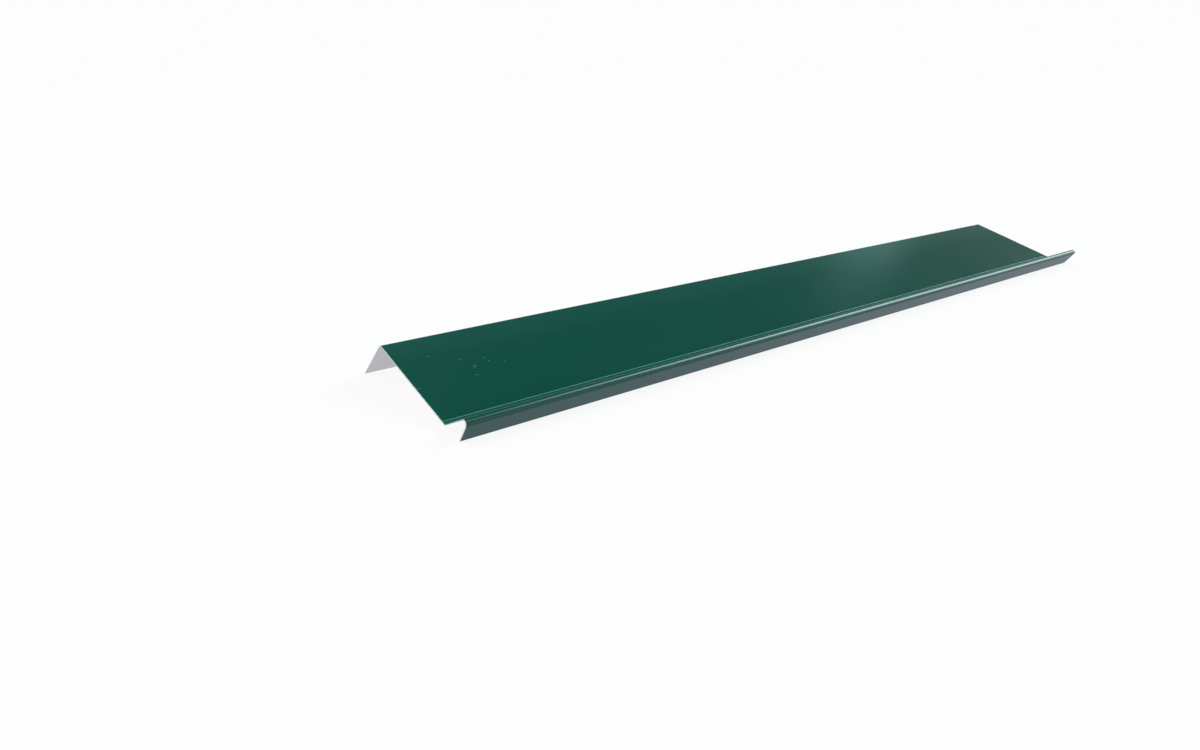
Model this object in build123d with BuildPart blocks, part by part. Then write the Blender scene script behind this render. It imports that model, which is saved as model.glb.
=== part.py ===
"""Wall abutment flashing: a length of colour-coated steel sheet, folded to one section.

The section is a strip of flat sheet with three folds. The back leg goes up to the ridge, the broad
face falls from there to the valley, and the front edge kicks up again and folds back under itself
into a drip nose with a short return lip. The part lies on a level floor as it would unheld, on the
edge of its back leg and the edge of its lip. X runs along the length, -Y is the front, and the
origin is the middle of the footprint on the floor.
"""

import os
from math import atan2, cos, sin

from build123d import *

# Stock
LENGTH = 1050.0
SHEET = 0.5

# Flats of the section, from the back edge to the front, on the coated side
LEG_FLAT = 59.5
FACE_FLAT = 123.0
KICK_FLAT = 34.5
LIP_FLAT = 19.5

# Angles between neighbouring flats, in degrees
RIDGE_ANGLE = 122.5
VALLEY_ANGLE = 136.5
NOSE_ANGLE = 27.0

# Bend radii on the coated side
RIDGE_RADIUS = 3.0
VALLEY_RADIUS = 1.5
NOSE_RADIUS = 3.75

# Coated side of the section, drawn flat by flat with the broad face level and the front to the right
RIDGE_TURN = 180 - RIDGE_ANGLE
VALLEY_TURN = 180 - VALLEY_ANGLE
NOSE_TURN = 180 - NOSE_ANGLE
with BuildLine() as coated_side:
    leg = PolarLine((0, 0), LEG_FLAT, angle=RIDGE_TURN)
    ridge = JernArc(leg @ 1, leg % 1, RIDGE_RADIUS, -RIDGE_TURN)
    face = PolarLine(ridge @ 1, FACE_FLAT, direction=ridge % 1)
    valley = JernArc(face @ 1, face % 1, VALLEY_RADIUS, VALLEY_TURN)
    kick = PolarLine(valley @ 1, KICK_FLAT, direction=valley % 1)
    nose = JernArc(kick @ 1, kick % 1, NOSE_RADIUS, -NOSE_TURN)
    lip = PolarLine(nose @ 1, LIP_FLAT, direction=nose % 1)

# Floor under the section: it touches the under side of the leg's edge and the outer side of the lip's edge
leg_foot = leg @ 0 + SHEET * (leg % 0).rotate(Axis.Z, -90)
lip_foot = lip @ 1
footing = lip_foot - leg_foot
floor_angle = atan2(footing.Y, footing.X)
forward = Vector(cos(floor_angle), sin(floor_angle))
upward = forward.rotate(Axis.Z, 90)

# Place of the section's own origin when the floor is level and the footprint is centred
back_reach = (leg @ 0).dot(forward)
front_reach = nose.arc_center.dot(forward) + NOSE_RADIUS
section_plane = Plane(
    origin=(0, (back_reach + front_reach) / 2, -leg_foot.dot(upward)),
    x_dir=(0, -forward.X, upward.X),
    z_dir=(-1, 0, 0),
)

with BuildPart() as abutment_flashing:
    with BuildSketch(section_plane):
        with BuildLine():
            add(coated_side.line)
            offset(amount=SHEET, side=Side.RIGHT)
        make_face()
    extrude(amount=LENGTH / 2, both=True)

abutment_flashing.part.label = "abutment_flashing"

os.makedirs("parts", exist_ok=True)
export_step(abutment_flashing.part, "parts/abutment_flashing.step")
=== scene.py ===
"""Wall abutment flashing: a length of folded, colour-coated steel sheet, lying on a white studio floor."""

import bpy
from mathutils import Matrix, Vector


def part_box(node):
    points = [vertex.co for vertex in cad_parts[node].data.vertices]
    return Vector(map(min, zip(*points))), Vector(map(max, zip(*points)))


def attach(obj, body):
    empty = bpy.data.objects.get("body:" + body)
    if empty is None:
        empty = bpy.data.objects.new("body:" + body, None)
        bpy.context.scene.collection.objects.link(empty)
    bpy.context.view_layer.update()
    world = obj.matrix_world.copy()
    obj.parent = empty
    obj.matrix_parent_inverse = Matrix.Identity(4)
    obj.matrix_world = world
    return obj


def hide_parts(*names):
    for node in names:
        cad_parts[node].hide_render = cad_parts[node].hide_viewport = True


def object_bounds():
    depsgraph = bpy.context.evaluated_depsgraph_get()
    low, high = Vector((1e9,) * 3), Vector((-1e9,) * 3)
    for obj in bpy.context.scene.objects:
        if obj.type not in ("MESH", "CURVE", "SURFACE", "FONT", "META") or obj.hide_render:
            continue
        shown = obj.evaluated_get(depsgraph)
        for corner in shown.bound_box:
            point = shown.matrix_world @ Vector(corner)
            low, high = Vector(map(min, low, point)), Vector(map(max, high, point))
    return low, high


bl_info = {
    "name": "Wall Abutment Flashing",
    "version": (1, 0, 0),
    "blender": (4, 5, 0),
    "location": "View3D > Sidebar > Flashing",
    "description": "Folds a length of colour-coated steel flashing and sets it on a studio floor",
    "category": "Object",
}

from math import atan2, ceil, cos, hypot, pi, radians, sin

import bpy
from bpy.props import FloatProperty, FloatVectorProperty, IntProperty, PointerProperty
from mathutils import Euler, Vector

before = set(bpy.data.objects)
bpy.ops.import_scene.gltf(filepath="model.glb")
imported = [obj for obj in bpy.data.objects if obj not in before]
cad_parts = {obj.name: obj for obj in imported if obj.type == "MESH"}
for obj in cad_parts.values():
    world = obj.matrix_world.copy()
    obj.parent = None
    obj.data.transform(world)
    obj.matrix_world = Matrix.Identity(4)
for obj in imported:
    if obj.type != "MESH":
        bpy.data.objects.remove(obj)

BODY = "root"
NODE = "abutment_flashing"
STRIP_MAP = "strip"
MM = 0.001

CAD_LOW, CAD_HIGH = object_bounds()

# Fineness of the folded sheet's mesh
BEND_STEP = radians(3.0)
FLAT_STEP = 7 * MM
BEND_MARGIN = 0.4 * MM
GROOVE_STEPS = 12
STATION_SPACING = 16 * MM
JOIN_DISTANCE = 0.01 * MM
SHARP_ANGLE = radians(35.0)

# Where the noise that waves the flats is read
WAVE_SEED = 0.7

# How far the folded sheet may differ from the solid that it stands for
BOX_TOLERANCE = 0.5 * MM

# Plain white, for what the eye sees of the floor
WHITE = (1.0, 1.0, 1.0, 1.0)

# Place on the face where the dim light shows, and how far off the distant lights stand
GLOW_TARGET = (0.188, 0.028, 0.033)
SUN_DISTANCE = 3.0

# The picture's width on the camera's sensor, and the picture's width and focal length in pixels
SENSOR_WIDTH = 36.0
PHOTO_WIDTH = 1200
PHOTO_FOCAL = 770.06


def size(name, description, millimetres):
    """A length, written in millimetres and kept in metres."""
    return FloatProperty(
        name=name,
        description=description,
        default=millimetres * MM,
        precision=5,
        subtype="DISTANCE",
        unit="LENGTH",
    )


def angle(name, description, degrees):
    """An angle, written in degrees and kept in radians."""
    return FloatProperty(
        name=name,
        description=description,
        default=radians(degrees),
        subtype="ANGLE",
        unit="ROTATION",
    )


def share(name, description, value):
    """A plain number from nought to one."""
    return FloatProperty(
        name=name, description=description, default=value, min=0.0, max=1.0, subtype="FACTOR"
    )


def tint(name, description, color):
    """A colour in linear light."""
    return FloatVectorProperty(
        name=name, description=description, default=color, size=3, min=0.0, max=1.0, subtype="COLOR"
    )


def strength(name, description, value):
    """How strong a light is."""
    return FloatProperty(name=name, description=description, default=value, min=0.0)


def whole(name, description, value):
    """A whole number, one or more."""
    return IntProperty(name=name, description=description, default=value, min=1)


class FlashingSection(bpy.types.PropertyGroup):
    """Sizes of the folded sheet, on its coated side."""

    length: size("Length", "Length of the strip", (CAD_HIGH.x - CAD_LOW.x) / MM)
    sheet: size("Sheet", "Thickness of the coated steel", 0.5)
    leg_flat: size("Leg", "Flat of the back leg", 59.5)
    face_flat: size("Face", "Flat of the broad face", 123.0)
    kick_flat: size("Kick", "Flat of the front edge that kicks up", 34.5)
    lip_flat: size("Lip", "Flat of the return lip under the nose", 19.5)
    ridge_angle: angle("Ridge angle", "Angle between the leg and the face", 122.5)
    valley_angle: angle("Valley angle", "Angle between the face and the kick", 136.5)
    nose_angle: angle("Nose angle", "Angle between the kick and the lip", 27.0)
    ridge_radius: size("Ridge radius", "Bend radius at the ridge", 3.0)
    valley_radius: size("Valley radius", "Bend radius in the valley", 1.5)
    nose_radius: size("Nose radius", "Bend radius round the drip nose", 3.75)
    clamp_reach: size("Clamp line", "How far above the valley the folding clamp left its line", 4.1)
    clamp_width: size("Clamp width", "Width of the clamp's line", 0.9)
    clamp_depth: size("Clamp depth", "Depth of the clamp's line", 0.08)
    wave_height: size("Wave height", "How far the flats leave their plane", 0.15)
    wave_length: size("Wave length", "Distance between the flats' waves", 300.0)


class FlashingFinish(bpy.types.PropertyGroup):
    """Colours and gloss of the sheet's surfaces."""

    coat: tint("Top coat", "Dark green of the coated side", (0.0032, 0.0690, 0.0510))
    # Paler top coat: used for random handled patches, and as painted light near the ridge.
    coat_worn_and_lit: tint("Handled coat", "Top coat where hands and rollers dulled it", (0.0090, 0.0820, 0.0630))
    coat_gloss: share("Top coat roughness", "Roughness of the satin top coat", 0.22)
    back: tint("Back coat", "Light grey of the back's thin coat", (0.68, 0.71, 0.71))
    back_thin: tint("Thin back coat", "Back coat where the zinc shows through", (0.63, 0.66, 0.66))
    back_gloss: share("Back coat roughness", "Roughness of the back coat", 0.45)
    steel: tint("Cut steel", "Bare metal of the sheared edges", (0.84, 0.86, 0.87))
    steel_dark: tint("Torn steel", "Torn patches of a sheared edge", (0.62, 0.64, 0.65))
    # Painted highlight: the paler clamp mark and the paler strip from the clamp's jaw to the valley stand
    # in for light caught by the crease and the slightly turned strip beside it.
    clamp_highlight: tint("Clamp mark", "Top coat along the folding clamp's line", (0.140, 0.390, 0.330))
    highlight_reach: size("Clamp mark width", "How far the paler mark reaches beside the clamp's line", 0.6)
    jaw_gap: size("Clamp gap", "Clean coat between the clamp's line and the strip that its jaw rubbed", 1.6)
    jaw_sheen_share: share("Clamp rub", "How much the clamp's jaw paled the coat in the valley", 0.09)
    # Painted light: the coat is painted paler towards the ridge, standing in for the stronger light that
    # falls on the face there.
    ridge_light_reach: size("Ridge rub", "How far from the ridge the coat is rubbed paler", 50.0)
    bare_metal: share("Bare metal", "How metallic the dull zinc of the cut edges is", 0.35)
    bare_reach: size("Bare rim", "How far the shears lifted the coat from a cut edge", 0.35)
    dust: tint("Dust", "Pale dust and swarf", (0.80, 0.95, 0.92))


class FlashingDust(bpy.types.PropertyGroup):
    """Loose specks on the face, near its near end."""

    count: whole("Specks", "Number of specks", 11)
    along: size("Along", "Middle of the specks, from the near end", 58.0)
    across: size("Across", "Middle of the specks, behind the part's middle line", -4.0)
    spread: size("Spread", "How far the specks scatter along the face", 62.0)
    width: size("Width", "Width of the largest speck", 0.85)
    seed: whole("Seed", "Seed of the scatter", 4)


class FlashingStage(bpy.types.PropertyGroup):
    """Floor, light and camera."""

    floor: tint("Floor", "Pale grey of the floor, which takes the shadow", (0.84, 0.81, 0.81))
    floor_shade: tint("Floor shade", "Shaded floor that the coat mirrors near the part", (0.51, 0.53, 0.63))
    floor_bounce: tint("Floor bounce", "Light that the floor throws up at the part", (0.75, 0.73, 0.75))
    floor_dim: tint("Floor dusk", "Light that the floor throws back further out", (0.12, 0.13, 0.14))
    shade_reach: size("Shade reach", "How far the shade reaches from the part's middle line", 350.0)
    floor_glow: share("Floor glow", "How much of what the floor shows is its own light", 0.90)
    white: share("White", "White of the backdrop", 0.98)
    floor_reach: size("Floor reach", "Half the width of the floor", 40000.0)
    backdrop_top: angle("Backdrop", "How high the white backdrop stands", 8.0)
    haze: share("Haze", "Light just above the backdrop", 0.06)
    haze_height: angle("Haze height", "Where the backdrop has faded into the haze", 20.0)
    dusk: share("Dusk", "Light from the dark studio overhead", 0.03)
    dusk_height: angle("Dusk height", "Where the haze has faded into the dark", 50.0)
    key_power: strength("Key light", "Strength of the key light", 1.86)
    key_tint: tint("Key tint", "Colour of the key light", (1.0, 0.99, 0.97))
    key_heading: angle("Key heading", "Where the key light stands, from the back to the right", -50.0)
    key_height: angle("Key height", "How high the key light stands", 60.0)
    key_softness: angle("Key softness", "Width of the key light, as the part sees it", 70.0)
    side_power: strength("Side lights", "Strength of all the lights on the right", 2.65)
    side_tint: tint("Side tint", "Cool colour of the lights on the right", (0.74, 1.0, 1.0))
    side_count: whole("Side count", "Lights in the row on the right", 3)
    side_heading: angle("Side heading", "Where the row's foot stands, from the back to the right", 106.0)
    side_swing: angle("Side swing", "How far the row's head stands further round than its foot", 7.0)
    side_foot: angle("Side foot", "How high the row's foot stands", 28.0)
    side_head: angle("Side head", "How high the row's head stands", 43.0)
    side_softness: angle("Side softness", "Width of each light in the row, as the part sees it", 40.0)
    glow_power: strength("Glow", "Power of the dim light behind the far end", 0.36)
    glow_tint: tint("Glow tint", "Colour of the dim light", (0.60, 1.0, 1.0))
    glow_heading: angle("Glow heading", "Where the dim light stands, from the back to the right", 65.3)
    glow_height: angle("Glow height", "How high the dim light stands", 23.0)
    glow_reach: size("Glow reach", "Distance from the face to the dim light", 3000.0)
    glow_width: size("Glow width", "Width of the dim light", 360.0)
    glow_rise: size("Glow rise", "Height of the dim light", 300.0)
    camera_along: size("Camera along", "Camera's place along the part", -769.36)
    camera_across: size("Camera across", "Camera's place across the part", -583.74)
    camera_height: size("Camera height", "Camera's height above the floor", 259.09)
    camera_heading: angle("Camera heading", "Where the camera looks, from the back to the right", 37.69)
    camera_dip: angle("Camera dip", "How far the camera looks down", 20.65)


def add_node(tree, kind, inputs=None, **settings):
    """Adds a node, sets its options, then fills or links its sockets."""
    made = tree.nodes.new(kind)
    for option, value in settings.items():
        setattr(made, option, value)
    for name, value in (inputs or {}).items():
        if isinstance(value, bpy.types.NodeSocket):
            tree.links.new(value, made.inputs[name])
        else:
            made.inputs[name].default_value = value
    return made


def calc(tree, operation, *terms):
    """One step of arithmetic on sockets and plain numbers."""
    return add_node(tree, "ShaderNodeMath", dict(enumerate(terms)), operation=operation).outputs[0]


def remap(tree, value, low, high, first, last, curve="LINEAR"):
    """Takes a value from one range to another."""
    sockets = {"Value": value, "From Min": low, "From Max": high, "To Min": first, "To Max": last}
    return add_node(tree, "ShaderNodeMapRange", sockets, interpolation_type=curve).outputs[0]


def combine(tree, x, y, z):
    """A vector from three values."""
    return add_node(tree, "ShaderNodeCombineXYZ", {"X": x, "Y": y, "Z": z}).outputs[0]


def noise(tree, place, scale, detail=2.0, roughness=0.5):
    """Smooth noise over a place, about nought to one."""
    sockets = {"Vector": place, "Scale": scale, "Detail": detail, "Roughness": roughness}
    return add_node(tree, "ShaderNodeTexNoise", sockets).outputs[0]


def mix_tints(tree, amount, first, second):
    """Goes from the first colour to the second."""
    made = add_node(tree, "ShaderNodeMix", {0: amount, 6: first, 7: second}, data_type="RGBA")
    return made.outputs[2]


def opaque(color):
    """A property's colour as a node's colour."""
    return (*color, 1.0)


def new_group(name, kind, takes, gives):
    """A node group with named sockets, and its two end nodes."""
    tree = bpy.data.node_groups.new(name, kind)
    for label, socket in takes.items():
        tree.interface.new_socket(label, in_out="INPUT", socket_type="NodeSocket" + socket)
    for label, socket in gives.items():
        tree.interface.new_socket(label, in_out="OUTPUT", socket_type="NodeSocket" + socket)
    return tree, tree.nodes.new("NodeGroupInput").outputs, tree.nodes.new("NodeGroupOutput").inputs


def rolled_finish_group():
    """What the coil line leaves on a sheet: lines along the strip, soft patches and a fine grain."""
    takes = {"Strip": "Vector", "Lines": "Float", "Patches": "Float", "Grains": "Float"}
    gives = {"Line": "Float", "Patch": "Float", "Grain": "Float"}
    tree, given, result = new_group("rolled_finish", "ShaderNodeTree", takes, gives)
    along_stretch = 0.012
    place = add_node(tree, "ShaderNodeSeparateXYZ", {0: given["Strip"]})
    drawn_along = calc(tree, "MULTIPLY", place.outputs["X"], along_stretch)
    drawn = combine(tree, drawn_along, place.outputs["Y"], 0.0)
    tree.links.new(noise(tree, drawn, given["Lines"], 3.0, 0.6), result["Line"])
    tree.links.new(noise(tree, given["Strip"], given["Patches"], 4.0, 0.55), result["Patch"])
    tree.links.new(noise(tree, given["Strip"], given["Grains"], 1.0), result["Grain"])
    return tree


def sheared_edge_group():
    """Where the shears lifted the coat along the strip's four cut edges, twice as far at the two ends."""
    takes = {"Strip": "Vector", "Half Length": "Float", "Girth": "Float", "Reach": "Float"}
    tree, given, result = new_group("sheared_edge", "ShaderNodeTree", takes, {"Bare": "Float"})
    nick_scale = 420.0
    nick_noise = (0.35, 0.7)
    nick_reach = (0.7, 1.25)
    end_share = 0.5
    full_share = 0.5
    place = add_node(tree, "ShaderNodeSeparateXYZ", {0: given["Strip"]})
    past_middle = calc(tree, "ABSOLUTE", place.outputs["X"])
    to_end = calc(tree, "MULTIPLY", calc(tree, "SUBTRACT", given["Half Length"], past_middle), end_share)
    to_far_side = calc(tree, "SUBTRACT", given["Girth"], place.outputs["Y"])
    to_side = calc(tree, "MINIMUM", place.outputs["Y"], to_far_side)
    to_edge = calc(tree, "MINIMUM", to_end, to_side)
    nicks = remap(tree, noise(tree, given["Strip"], nick_scale, 3.0), *nick_noise, *nick_reach)
    reach = calc(tree, "MULTIPLY", nicks, given["Reach"])
    inner = calc(tree, "MULTIPLY", reach, full_share)
    bare = remap(tree, to_edge, inner, reach, 1.0, 0.0, "SMOOTHSTEP")
    tree.links.new(bare, result["Bare"])
    return tree


def new_material(name):
    """An empty node material with its Principled shader."""
    material = bpy.data.materials.new(name)
    material.use_nodes = True
    return material, material.node_tree, material.node_tree.nodes["Principled BSDF"]


def fill(tree, filled, **values):
    """Sets or links a node's sockets, by their names with underscores for spaces."""
    for label, value in values.items():
        socket = filled.inputs[label.replace("_", " ")]
        if isinstance(value, bpy.types.NodeSocket):
            tree.links.new(value, socket)
        else:
            socket.default_value = value


def place_group(tree, group, **values):
    """Puts a shared shader group into a material, with this material's own values."""
    made = add_node(tree, "ShaderNodeGroup", node_tree=group)
    fill(tree, made, **values)
    return made.outputs


def strip_place(tree):
    """Place on the strip before it was folded, in metres along and across."""
    return add_node(tree, "ShaderNodeUVMap", uv_map=STRIP_MAP).outputs[0]


def distance(tree, value, place):
    """How far a value is from a place, either way."""
    return calc(tree, "ABSOLUTE", calc(tree, "SUBTRACT", value, place))


def blend_of(tree, first, first_share, second, second_share):
    """The sum of two values, each by its share."""
    return calc(
        tree,
        "ADD",
        calc(tree, "MULTIPLY", first, first_share),
        calc(tree, "MULTIPLY", second, second_share),
    )


def relief(tree, height, amount, depth):
    """A fine unevenness of the surface."""
    sockets = {"Strength": amount, "Distance": depth, "Height": height}
    return add_node(tree, "ShaderNodeBump", sockets).outputs[0]


def coat_material(finish, half_length, girth, runs, rolled, sheared):
    """Satin dark green top coat, painted paler towards the ridge as painted light, with a painted highlight
    along the clamp's line and the strip down to the valley, and bare zinc at the cut edges.
    """
    material, tree, shader = new_material("green_coat")
    ridge_run, clamp_run, valley_run = runs
    ridge_light_share = 0.75
    patch_share = 0.2
    line_share = 0.02
    worn_gloss = 0.05
    bare_gloss = 0.2

    strip = strip_place(tree)
    across = add_node(tree, "ShaderNodeSeparateXYZ", {0: strip}).outputs["Y"]
    marks = place_group(tree, rolled, Strip=strip, Lines=260.0, Patches=9.0, Grains=620.0)
    edge = place_group(
        tree, sheared, Strip=strip, Half_Length=half_length, Girth=girth, Reach=finish.bare_reach
    )

    # Painted light: paler towards the ridge. Random handled patches and rolled lines are added to it.
    from_ridge = distance(tree, across, ridge_run)
    lit_pale = remap(tree, from_ridge, 0.0, finish.ridge_light_reach, ridge_light_share, 0.0, "SMOOTHSTEP")
    dulled = remap(tree, marks["Patch"], 0.35, 0.7, 0.0, patch_share, "SMOOTHSTEP")
    lined = remap(tree, marks["Line"], 0.3, 0.7, -line_share, line_share)
    handled_and_lit = calc(tree, "ADD", calc(tree, "ADD", lit_pale, dulled), lined)
    green = mix_tints(tree, handled_and_lit, opaque(finish.coat), opaque(finish.coat_worn_and_lit))

    # Painted highlight: a pale tint along the clamp's line, and a fainter one over the strip from the
    # clamp's jaw to the valley.
    from_clamp = distance(tree, across, clamp_run)
    line = remap(tree, from_clamp, 0.0, finish.highlight_reach, 1.0, 0.0, "SMOOTHSTEP")
    jaw_run = clamp_run + finish.jaw_gap
    jaw_half = (valley_run - jaw_run) / 2
    jaw_inner = jaw_half - finish.highlight_reach / 2
    jaw_outer = jaw_half + finish.highlight_reach / 2
    from_jaw = distance(tree, across, (jaw_run + valley_run) / 2)
    jaw_sheen = remap(tree, from_jaw, jaw_inner, jaw_outer, finish.jaw_sheen_share, 0.0, "SMOOTHSTEP")
    pressed = calc(tree, "MAXIMUM", line, jaw_sheen)
    green = mix_tints(tree, pressed, green, opaque(finish.clamp_highlight))

    skin = mix_tints(tree, edge["Bare"], green, opaque(finish.steel))
    gloss = remap(tree, handled_and_lit, 0.0, 1.0, finish.coat_gloss, finish.coat_gloss + worn_gloss)
    rough = calc(tree, "ADD", gloss, calc(tree, "MULTIPLY", edge["Bare"], bare_gloss))
    metal = calc(tree, "MULTIPLY", edge["Bare"], finish.bare_metal)
    uneven = relief(tree, blend_of(tree, marks["Grain"], 0.6, marks["Line"], 0.05), 0.2, 0.004 * MM)
    fill(tree, shader, Base_Color=skin, Roughness=rough, Metallic=metal, Normal=uneven, IOR=1.5)
    return material


def back_material(finish, half_length, girth, rolled, sheared):
    """Thin light grey back coat, with zinc showing through in lines and patches."""
    material, tree, shader = new_material("grey_back_coat")
    thick_gloss = 0.08
    strip = strip_place(tree)
    marks = place_group(tree, rolled, Strip=strip, Lines=420.0, Patches=26.0, Grains=900.0)
    edge = place_group(
        tree, sheared, Strip=strip, Half_Length=half_length, Girth=girth, Reach=finish.bare_reach
    )
    thin = blend_of(tree, marks["Patch"], 0.6, marks["Line"], 0.4)
    thinned = remap(tree, thin, 0.35, 0.65, 0.0, 1.0, "SMOOTHSTEP")
    grey = mix_tints(tree, thinned, opaque(finish.back), opaque(finish.back_thin))
    skin = mix_tints(tree, edge["Bare"], grey, opaque(finish.steel))
    rough = remap(tree, thinned, 0.0, 1.0, finish.back_gloss + thick_gloss, finish.back_gloss)
    metal = calc(tree, "MULTIPLY", edge["Bare"], finish.bare_metal)
    uneven = relief(tree, marks["Grain"], 0.4, 0.006 * MM)
    fill(tree, shader, Base_Color=skin, Roughness=rough, Metallic=metal, Normal=uneven)
    return material


def steel_material(finish):
    """Sheared edge: bright bare steel with the shears' drag marks."""
    material, tree, shader = new_material("cut_steel")
    drag_scale = 700.0
    smooth_gloss = 0.42
    torn_gloss = 0.58
    place = add_node(tree, "ShaderNodeTexCoord").outputs["Object"]
    drag = noise(tree, place, drag_scale, 3.0, 0.6)
    torn = remap(tree, drag, 0.4, 0.65, 0.0, 1.0, "SMOOTHSTEP")
    metal = mix_tints(tree, torn, opaque(finish.steel), opaque(finish.steel_dark))
    rough = remap(tree, torn, 0.0, 1.0, smooth_gloss, torn_gloss)
    uneven = relief(tree, drag, 0.5, 0.02 * MM)
    fill(tree, shader, Base_Color=metal, Roughness=rough, Metallic=finish.bare_metal, Normal=uneven)
    return material


def dust_material(finish):
    """Pale dust, each speck a little darker or lighter."""
    material, tree, shader = new_material("pale_dust")
    shade_scale = 300.0
    dim_share = 0.7
    place = add_node(tree, "ShaderNodeTexCoord").outputs["Object"]
    shade = remap(tree, noise(tree, place, shade_scale, 2.0), 0.3, 0.7, 0.0, 1.0)
    dim = tuple(dim_share * part for part in finish.dust)
    pale = mix_tints(tree, shade, opaque(dim), opaque(finish.dust))
    fill(tree, shader, Base_Color=pale, Roughness=0.9)
    return material


def floor_material(stage):
    """White floor with a faint mottle. The coat mirrors it shaded near the part and white further out."""
    material, tree, shader = new_material("white_floor")
    mottle_scale = 3.0
    mottle_depth = 0.006
    place = add_node(tree, "ShaderNodeTexCoord").outputs["Object"]
    mottle = noise(tree, place, mottle_scale, 4.0)
    mottled = tuple(part - mottle_depth for part in stage.floor)
    pale = mix_tints(tree, mottle, opaque(stage.floor), opaque(mottled))
    fill(tree, shader, Base_Color=pale, Roughness=0.9, Specular_IOR_Level=0.0)
    path = add_node(tree, "ShaderNodeLightPath").outputs
    seen = calc(tree, "MAXIMUM", path["Is Camera Ray"], path["Is Transmission Ray"])
    away = calc(tree, "ABSOLUTE", add_node(tree, "ShaderNodeSeparateXYZ", {0: place}).outputs["Y"])
    beside = remap(tree, away, CAD_HIGH.y, stage.shade_reach, 1.0, 0.0, "SMOOTHSTEP")
    bounced = mix_tints(tree, beside, opaque(stage.floor_dim), opaque(stage.floor_bounce))
    mirrored = mix_tints(tree, beside, WHITE, opaque(stage.floor_shade))
    given_back = mix_tints(tree, path["Is Glossy Ray"], bounced, mirrored)
    shown = mix_tints(tree, seen, given_back, WHITE)
    own_light = add_node(tree, "ShaderNodeEmission", {"Color": shown, "Strength": 1.0}).outputs[0]
    both = add_node(tree, "ShaderNodeMixShader", {0: stage.floor_glow, 1: shader.outputs[0], 2: own_light})
    tree.links.new(both.outputs[0], tree.nodes["Material Output"].inputs["Surface"])
    return material


class FoldedLine:
    """The coated side of the section, walked flat by flat and bend by bend from the leg's edge."""

    def __init__(self, heading):
        self.heading = heading
        self.places = [Vector((0.0, 0.0))]
        self.slacks = [0.0]

    def onward(self):
        return Vector((cos(self.heading), sin(self.heading)))

    def flat(self, length, slack=0.0):
        """A straight stretch, with a line close beside each bend so that the bend's shading stays there."""
        start = self.places[-1]
        steps = max(2, ceil(length / FLAT_STEP))
        inner = [length * step / steps for step in range(1, steps)]
        for run in [BEND_MARGIN, *inner, length - BEND_MARGIN, length]:
            self.places.append(start + run * self.onward())
            self.slacks.append(slack * sin(pi * run / length) ** 2)

    def bend(self, radius, turn):
        """An arc that turns the line, to the left where the turn is positive. It gives the arc's centre."""
        start = self.places[-1]
        side = 1.0 if turn > 0 else -1.0
        to_centre = side * radius * self.onward().orthogonal()
        centre = start + to_centre
        steps = ceil(abs(turn) / BEND_STEP)
        first = self.heading
        for step in range(1, steps + 1):
            self.heading = first + turn * step / steps
            self.places.append(centre - side * radius * self.onward().orthogonal())
            self.slacks.append(0.0)
        return centre

    def groove(self, width, depth):
        """A shallow pressed line across the coated side."""
        start = self.places[-1]
        onward = self.onward()
        for step in range(1, GROOVE_STEPS + 1):
            part = step / GROOVE_STEPS
            sunk = depth * (1.0 - cos(2.0 * pi * part)) / 2.0
            self.places.append(start + part * width * onward - sunk * onward.orthogonal())
            self.slacks.append(0.0)


def coated_line(section):
    """Draws the coated side with the broad face level, then gives the line and the nose's centre."""
    ridge_turn = pi - section.ridge_angle
    line = FoldedLine(ridge_turn)
    line.flat(section.leg_flat, 0.5)
    line.bend(section.ridge_radius, -ridge_turn)
    line.flat(section.face_flat - section.clamp_reach - section.clamp_width / 2, 1.0)
    line.groove(section.clamp_width, section.clamp_depth)
    line.flat(section.clamp_reach - section.clamp_width / 2)
    line.bend(section.valley_radius, pi - section.valley_angle)
    line.flat(section.kick_flat)
    nose_centre = line.bend(section.nose_radius, section.nose_angle - pi)
    line.flat(section.lip_flat)
    return line, nose_centre


def section_mesh(section):
    """The coated side as a line of points, each with its run across the strip and its slack."""
    line, nose_centre = coated_line(section)
    leg_edge = line.places[0]
    leg_turn = pi - section.ridge_angle
    leg_foot = leg_edge + section.sheet * Vector((sin(leg_turn), -cos(leg_turn)))
    footing = line.places[-1] - leg_foot
    floor_angle = atan2(footing.y, footing.x)
    forward = Vector((cos(floor_angle), sin(floor_angle)))
    upward = forward.orthogonal()
    front_reach = nose_centre.dot(forward) + section.nose_radius
    middle = (leg_edge.dot(forward) + front_reach) / 2
    ground = leg_foot.dot(upward)

    points = [(0.0, middle - p.dot(forward), p.dot(upward) - ground) for p in line.places]
    edges = [(i, i + 1) for i in range(len(points) - 1)]
    mesh = bpy.data.meshes.new("section_line")
    mesh.from_pydata(points, edges, [])
    runs = [0.0]
    for (_, y0, z0), (_, y1, z1) in zip(points, points[1:]):
        runs.append(runs[-1] + hypot(y1 - y0, z1 - z0))
    mesh.attributes.new("run", "FLOAT", "POINT").data.foreach_set("value", runs)
    mesh.attributes.new("slack", "FLOAT", "POINT").data.foreach_set("value", line.slacks)
    return mesh, runs[-1]


def fold_runs(section):
    """Where the ridge's middle, the clamp's line and the valley's end lie across the flat strip."""
    ridge_arc = section.ridge_radius * (pi - section.ridge_angle)
    valley_arc = section.valley_radius * (pi - section.valley_angle)
    face_end = section.leg_flat + ridge_arc + section.face_flat
    return section.leg_flat + ridge_arc / 2, face_end - section.clamp_reach, face_end + valley_arc


def named_value(tree, name, kind="FLOAT"):
    """A point's or a face's own stored value."""
    return add_node(tree, "GeometryNodeInputNamedAttribute", {"Name": name}, data_type=kind).outputs[0]


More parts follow.
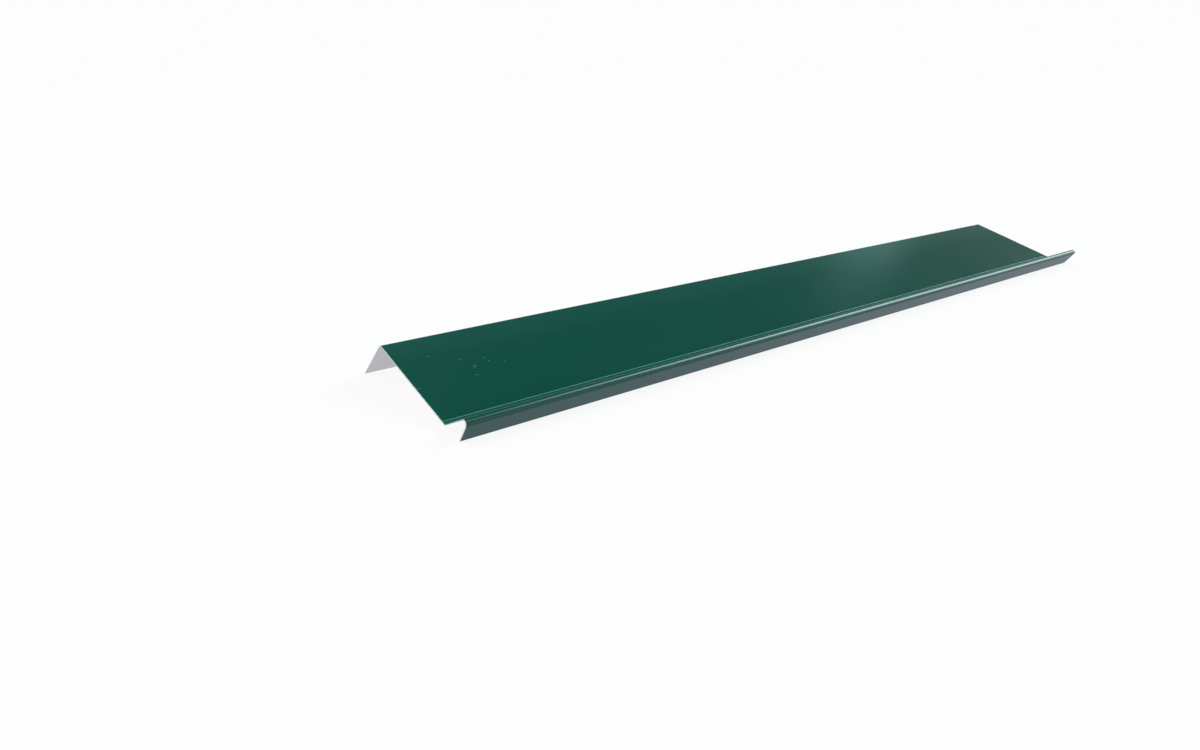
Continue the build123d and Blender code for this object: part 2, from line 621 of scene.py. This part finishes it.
def move(tree, mesh, **places):
    """Puts a mesh's points in new places, or offsets them."""
    made = add_node(tree, "GeometryNodeSetPosition", {"Geometry": mesh})
    fill(tree, made, **places)
    return made.outputs[0]


def finish_faces(tree, mesh, material, **faces):
    """Gives a mesh, or some of its faces, a material."""
    made = add_node(tree, "GeometryNodeSetMaterial", {"Geometry": mesh, "Material": material})
    fill(tree, made, **faces)
    return made.outputs[0]


def folded_sheet_tree():
    """Draws a section line out along the length, waves its flats, gives it thickness and three finishes."""
    takes = {
        "Section": "Geometry",
        "Length": "Float",
        "Stations": "Int",
        "Sheet": "Float",
        "Wave Height": "Float",
        "Wave Length": "Float",
        "Wave Seed": "Float",
        "Top Coat": "Material",
        "Back Coat": "Material",
        "Cut Steel": "Material",
    }
    tree, given, result = new_group("folded_sheet", "GeometryNodeTree", takes, {"Sheet": "Geometry"})
    line = given["Section"]
    count = add_node(tree, "GeometryNodeAttributeDomainSize", {0: line}).outputs["Point Count"]
    grid = add_node(
        tree,
        "GeometryNodeMeshGrid",
        {"Size X": given["Length"], "Vertices X": given["Stations"], "Vertices Y": count},
    )
    index = add_node(tree, "GeometryNodeInputIndex").outputs[0]
    row = add_node(tree, "FunctionNodeIntegerMath", {0: index, 1: count}, operation="MODULO").outputs[0]
    position = add_node(tree, "GeometryNodeInputPosition").outputs[0]

    def on_line(value, kind):
        sockets = {"Geometry": line, "Value": value, "Index": row}
        return add_node(tree, "GeometryNodeSampleIndex", sockets, data_type=kind).outputs[0]

    def store(mesh, name, value, kind, domain):
        sockets = {"Geometry": mesh, "Name": name, "Value": value}
        return add_node(
            tree, "GeometryNodeStoreNamedAttribute", sockets, data_type=kind, domain=domain
        ).outputs[0]

    mesh = store(grid.outputs["Mesh"], "run", on_line(named_value(tree, "run"), "FLOAT"), "FLOAT", "POINT")
    mesh = store(mesh, "slack", on_line(named_value(tree, "slack"), "FLOAT"), "FLOAT", "POINT")
    along = add_node(tree, "ShaderNodeSeparateXYZ", {0: position}).outputs["X"]
    folded = add_node(tree, "ShaderNodeSeparateXYZ", {0: on_line(position, "FLOAT_VECTOR")})
    drawn = combine(tree, along, folded.outputs["Y"], folded.outputs["Z"])
    mesh = move(tree, mesh, Position=drawn)
    strip = combine(tree, along, named_value(tree, "run"), 0.0)
    mesh = store(mesh, STRIP_MAP, strip, "FLOAT2", "CORNER")
    mesh = add_node(tree, "GeometryNodeFlipFaces", {0: mesh}).outputs[0]

    outward = add_node(tree, "GeometryNodeInputNormal").outputs[0]
    pitch = calc(tree, "DIVIDE", 1.0, given["Wave Length"])
    wave_place = combine(tree, along, named_value(tree, "run"), given["Wave Seed"])
    wave = calc(tree, "SUBTRACT", noise(tree, wave_place, pitch, 1.0), 0.5)
    lift = calc(tree, "MULTIPLY", calc(tree, "MULTIPLY", wave, given["Wave Height"]), 2.0)
    slack_lift = calc(tree, "MULTIPLY", lift, named_value(tree, "slack"))
    waved = add_node(tree, "ShaderNodeVectorMath", {0: outward, "Scale": slack_lift}, operation="SCALE")
    mesh = move(tree, mesh, Offset=waved.outputs[0])

    inward = calc(tree, "MULTIPLY", given["Sheet"], -1.0)
    sockets = {"Mesh": mesh, "Offset Scale": inward, "Individual": False}
    wall = add_node(tree, "GeometryNodeExtrudeMesh", sockets, mode="FACES")
    back = store(wall.outputs["Mesh"], "is_back", wall.outputs["Top"], "BOOLEAN", "FACE")
    back = store(back, "is_rim", wall.outputs["Side"], "BOOLEAN", "FACE")
    back = add_node(tree, "GeometryNodeFlipFaces", {0: back}).outputs[0]
    both = add_node(tree, "GeometryNodeJoinGeometry")
    tree.links.new(back, both.inputs[0])
    tree.links.new(mesh, both.inputs[0])
    closed = add_node(
        tree, "GeometryNodeMergeByDistance", {"Geometry": both.outputs[0], "Distance": JOIN_DISTANCE}
    ).outputs[0]
    mesh = add_node(tree, "GeometryNodeRealizeInstances", {0: closed}).outputs[0]
    mesh = finish_faces(tree, mesh, given["Top Coat"])
    for mark, coat in (("is_back", "Back Coat"), ("is_rim", "Cut Steel")):
        mesh = finish_faces(tree, mesh, given[coat], Selection=named_value(tree, mark, "BOOLEAN"))
    tree.links.new(mesh, result["Sheet"])
    return tree


def dust_tree():
    """Drops specks from above on the sheet, each a small flattened crumb turned at random."""
    takes = {
        "Sheet": "Geometry",
        "Count": "Int",
        "Middle": "Vector",
        "Spread": "Float",
        "Width": "Float",
        "Seed": "Int",
        "Dust": "Material",
    }
    tree, given, result = new_group("dust_specks", "GeometryNodeTree", takes, {"Specks": "Geometry"})
    drop_height = 0.2
    lowest_share = (-1.0, -0.75, 0.0)
    highest_share = (1.0, 0.75, 0.0)
    smallest = (0.35, 0.3, 0.06)
    largest = (1.0, 0.8, 0.12)

    def random_vector(low, high, seed_step):
        seed = calc(tree, "ADD", given["Seed"], seed_step)
        return add_node(
            tree, "FunctionNodeRandomValue", {0: low, 1: high, "Seed": seed}, data_type="FLOAT_VECTOR"
        ).outputs[0]

    def vector_step(operation, first, second):
        return add_node(tree, "ShaderNodeVectorMath", {0: first, 1: second}, operation=operation).outputs[0]

    first = random_vector(lowest_share, highest_share, 0)
    second = random_vector(lowest_share, highest_share, 1)
    scatter = vector_step("MULTIPLY", first, vector_step("ABSOLUTE", second, (0.0, 0.0, 0.0)))
    reach = combine(tree, given["Spread"], given["Spread"], 0.0)
    above = vector_step("ADD", given["Middle"], vector_step("MULTIPLY", scatter, reach))
    start = vector_step("ADD", above, (0.0, 0.0, drop_height))
    points = add_node(tree, "GeometryNodePoints", {"Count": given["Count"], "Position": start}).outputs[0]
    fall = {"Target Geometry": given["Sheet"], "Ray Direction": (0.0, 0.0, -1.0)}
    landing = add_node(tree, "GeometryNodeRaycast", fall).outputs
    on_sheet = move(tree, points, Position=landing["Hit Position"])
    upright = {"Vector": landing["Hit Normal"]}
    lying = add_node(tree, "FunctionNodeAlignRotationToVector", upright, axis="Z").outputs[0]
    spin = random_vector((0.0, 0.0, 0.0), (0.0, 0.0, 2.0 * pi), 2)
    turn = add_node(tree, "FunctionNodeEulerToRotation", {0: spin}).outputs[0]
    sockets = {"Rotation": lying, "Rotate By": turn}
    turned = add_node(tree, "FunctionNodeRotateRotation", sockets, rotation_space="LOCAL").outputs[0]
    full = random_vector(smallest, largest, 3)
    scale = vector_step("MULTIPLY", full, combine(tree, given["Width"], given["Width"], given["Width"]))
    crumb = add_node(tree, "GeometryNodeMeshIcoSphere", {"Radius": 0.5, "Subdivisions": 2}).outputs["Mesh"]
    sockets = {"Points": on_sheet, "Instance": crumb, "Rotation": turned, "Scale": scale}
    specks = add_node(tree, "GeometryNodeInstanceOnPoints", sockets).outputs[0]
    mesh = add_node(tree, "GeometryNodeRealizeInstances", {0: specks}).outputs[0]
    tree.links.new(finish_faces(tree, mesh, given["Dust"]), result["Specks"])
    return tree


def link_object(name, data):
    """A new object in the scene, at the origin."""
    made = bpy.data.objects.new(name, data)
    bpy.context.scene.collection.objects.link(made)
    return made


def grow_piece(name, base, tree, values):
    """Runs a tree on a mesh and leaves the result as a plain mesh piece."""
    piece = link_object(name, base)
    modifier = piece.modifiers.new(tree.name, "NODES")
    modifier.node_group = tree
    for item in tree.interface.items_tree:
        if item.in_out == "INPUT" and item.name in values:
            modifier[item.identifier] = values[item.name]
    depsgraph = bpy.context.evaluated_depsgraph_get()
    mesh = bpy.data.meshes.new_from_object(
        piece.evaluated_get(depsgraph), preserve_all_data_layers=True, depsgraph=depsgraph
    )
    piece.modifiers.remove(modifier)
    piece.data = mesh
    mesh.name = name
    if not mesh.polygons:
        raise RuntimeError(f"{name} came out empty")
    return piece


def check_box(piece):
    """Stops if a piece doesn't fill the solid's box."""
    low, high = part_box(NODE)
    for axis in range(3):
        places = [vertex.co[axis] for vertex in piece.data.vertices]
        if abs(min(places) - low[axis]) > BOX_TOLERANCE or abs(max(places) - high[axis]) > BOX_TOLERANCE:
            reach = f"{min(places)} to {max(places)}"
            raise RuntimeError(f"{piece.name} doesn't fill the solid's box along axis {axis}: {reach}")


class FoldSheet(bpy.types.Operator):
    """Folds the coated sheet and puts it in the place of the solid"""

    bl_idname = "flashing.fold_sheet"
    bl_label = "Fold sheet"

    def execute(self, context):
        section = context.scene.flashing_section
        finish = context.scene.flashing_finish
        base, girth = section_mesh(section)
        rolled = rolled_finish_group()
        sheared = sheared_edge_group()
        half_length = section.length / 2
        values = {
            "Length": section.length,
            "Stations": ceil(section.length / STATION_SPACING) + 1,
            "Sheet": section.sheet,
            "Wave Height": section.wave_height,
            "Wave Length": section.wave_length,
            "Wave Seed": WAVE_SEED,
            "Top Coat": coat_material(finish, half_length, girth, fold_runs(section), rolled, sheared),
            "Back Coat": back_material(finish, half_length, girth, rolled, sheared),
            "Cut Steel": steel_material(finish),
        }
        sheet = grow_piece("folded_sheet", base, folded_sheet_tree(), values)
        for helper in ("run", "slack", "is_back", "is_rim"):
            sheet.data.attributes.remove(sheet.data.attributes[helper])
        sheet.data.shade_smooth()
        sheet.data.set_sharp_from_angle(angle=SHARP_ANGLE)
        check_box(sheet)
        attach(sheet, BODY)
        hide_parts(NODE)
        return {"FINISHED"}


class LayDust(bpy.types.Operator):
    """Lays a few pale specks on the face"""

    bl_idname = "flashing.lay_dust"
    bl_label = "Lay dust"

    def execute(self, context):
        section = context.scene.flashing_section
        dust = context.scene.flashing_dust
        middle = Vector((dust.along - section.length / 2, dust.across, 0.0))
        values = {
            "Count": dust.count,
            "Middle": middle,
            "Spread": dust.spread,
            "Width": dust.width,
            "Seed": dust.seed,
            "Dust": dust_material(context.scene.flashing_finish),
        }
        sheet = bpy.data.objects["folded_sheet"]
        specks = grow_piece("dust_specks", sheet.data.copy(), dust_tree(), values)
        specks.data.shade_smooth()
        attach(specks, BODY)
        return {"FINISHED"}


def towards(heading, height):
    """Direction at a heading round from the back to the right, and a height above the floor."""
    return Vector((cos(height) * sin(heading), cos(height) * cos(heading), sin(height)))


def aim(lamp, place, target):
    """Puts a lamp in a place, shining at a target."""
    lamp.location = place
    lamp.rotation_euler = (target - place).to_track_quat("-Z", "Y").to_euler()


def white_floor(stage):
    """A wide level floor just under the part."""
    reach = stage.floor_reach
    mesh = bpy.data.meshes.new("studio_floor")
    corners = [(-reach, -reach, 0.0), (reach, -reach, 0.0), (reach, reach, 0.0), (-reach, reach, 0.0)]
    mesh.from_pydata(corners, [], [(0, 1, 2, 3)])
    mesh.materials.append(floor_material(stage))
    link_object("studio_floor", mesh)


def studio_world(stage):
    """White all round to the eye; the coat mirrors a white backdrop low down and a dark studio above it."""
    world = bpy.data.worlds.new("studio")
    world.use_nodes = True
    tree = world.node_tree
    look = add_node(tree, "ShaderNodeTexCoord").outputs["Generated"]
    height = add_node(tree, "ShaderNodeSeparateXYZ", {0: look}).outputs["Z"]
    ramp = add_node(tree, "ShaderNodeValToRGB", {"Fac": height})
    bands = ramp.color_ramp.elements
    bands.new(sin(stage.haze_height))
    steps = (
        (stage.backdrop_top, stage.white),
        (stage.haze_height, stage.haze),
        (stage.dusk_height, stage.dusk),
    )
    for band, (rise, light) in zip(bands, steps):
        band.position = sin(rise)
        band.color = (light, light, light, 1.0)
    ramp.color_ramp.interpolation = "EASE"
    path = add_node(tree, "ShaderNodeLightPath").outputs
    seen = calc(tree, "MAXIMUM", path["Is Camera Ray"], path["Is Transmission Ray"])
    white = (stage.white, stage.white, stage.white, 1.0)
    background = tree.nodes["Background"]
    tree.links.new(mix_tints(tree, seen, ramp.outputs["Color"], white), background.inputs["Color"])
    background.inputs["Strength"].default_value = 1.0
    bpy.context.scene.world = world


def add_sun(name, color, power, softness, heading, height):
    """A distant soft light that shines on the whole part alike."""
    sun = bpy.data.lights.new(name, "SUN")
    sun.color = color
    sun.energy = power
    sun.angle = softness
    aim(link_object(name, sun), SUN_DISTANCE * towards(heading, height), Vector())


def studio_lamps(stage):
    """A broad key light on the left, a row of lights on the right, and a dim one behind the far end."""
    add_sun(
        "key_light",
        stage.key_tint,
        stage.key_power,
        stage.key_softness,
        stage.key_heading,
        stage.key_height,
    )
    for number in range(stage.side_count):
        part = number / max(1, stage.side_count - 1)
        heading = stage.side_heading + part * stage.side_swing
        height = stage.side_foot + part * (stage.side_head - stage.side_foot)
        power = stage.side_power / stage.side_count
        add_sun(f"side_light_{number}", stage.side_tint, power, stage.side_softness, heading, height)

    glow = bpy.data.lights.new("glow_light", "AREA")
    glow.shape = "ELLIPSE"
    glow.energy = stage.glow_power
    glow.color = stage.glow_tint
    glow.size = stage.glow_width
    glow.size_y = stage.glow_rise
    target = Vector(GLOW_TARGET)
    place = target + stage.glow_reach * towards(stage.glow_heading, stage.glow_height)
    aim(link_object("glow_light", glow), place, target)


def studio_camera(stage):
    """The camera, low over the near end's front."""
    data = bpy.data.cameras.new("studio_camera")
    data.sensor_width = SENSOR_WIDTH
    data.sensor_fit = "HORIZONTAL"
    data.lens = SENSOR_WIDTH * PHOTO_FOCAL / PHOTO_WIDTH
    camera = link_object("studio_camera", data)
    camera.location = (stage.camera_along, stage.camera_across, stage.camera_height)
    camera.rotation_euler = Euler((pi / 2 - stage.camera_dip, 0.0, -stage.camera_heading))
    bpy.context.scene.camera = camera


class SetStage(bpy.types.Operator):
    """Sets the floor, the light and the camera"""

    bl_idname = "flashing.set_stage"
    bl_label = "Set stage"

    def execute(self, context):
        stage = context.scene.flashing_stage
        white_floor(stage)
        studio_world(stage)
        studio_lamps(stage)
        studio_camera(stage)
        context.scene.view_settings.view_transform = "Standard"
        return {"FINISHED"}


class FlashingPanel(bpy.types.Panel):
    """Sizes, finishes, dust and stage of the flashing"""

    bl_idname = "VIEW3D_PT_flashing"
    bl_label = "Wall abutment flashing"
    bl_space_type = "VIEW_3D"
    bl_region_type = "UI"
    bl_category = "Flashing"

    def draw(self, context):
        for name, kind in GROUPS.items():
            column = self.layout.box().column()
            for label in kind.__annotations__:
                column.prop(getattr(context.scene, name), label)
        for step in STEPS:
            self.layout.operator(step.bl_idname)


GROUPS = {
    "flashing_section": FlashingSection,
    "flashing_finish": FlashingFinish,
    "flashing_dust": FlashingDust,
    "flashing_stage": FlashingStage,
}
STEPS = (FoldSheet, LayDust, SetStage)


def register():
    for cls in (*GROUPS.values(), *STEPS, FlashingPanel):
        bpy.utils.register_class(cls)
    for label, cls in GROUPS.items():
        setattr(bpy.types.Scene, label, PointerProperty(type=cls))


def unregister():
    for label in GROUPS:
        delattr(bpy.types.Scene, label)
    for cls in (FlashingPanel, *STEPS, *GROUPS.values()):
        bpy.utils.unregister_class(cls)


def main():
    register()
    bpy.ops.flashing.fold_sheet()
    bpy.ops.flashing.lay_dust()
    bpy.ops.flashing.set_stage()


if __name__ == "__main__":
    main()
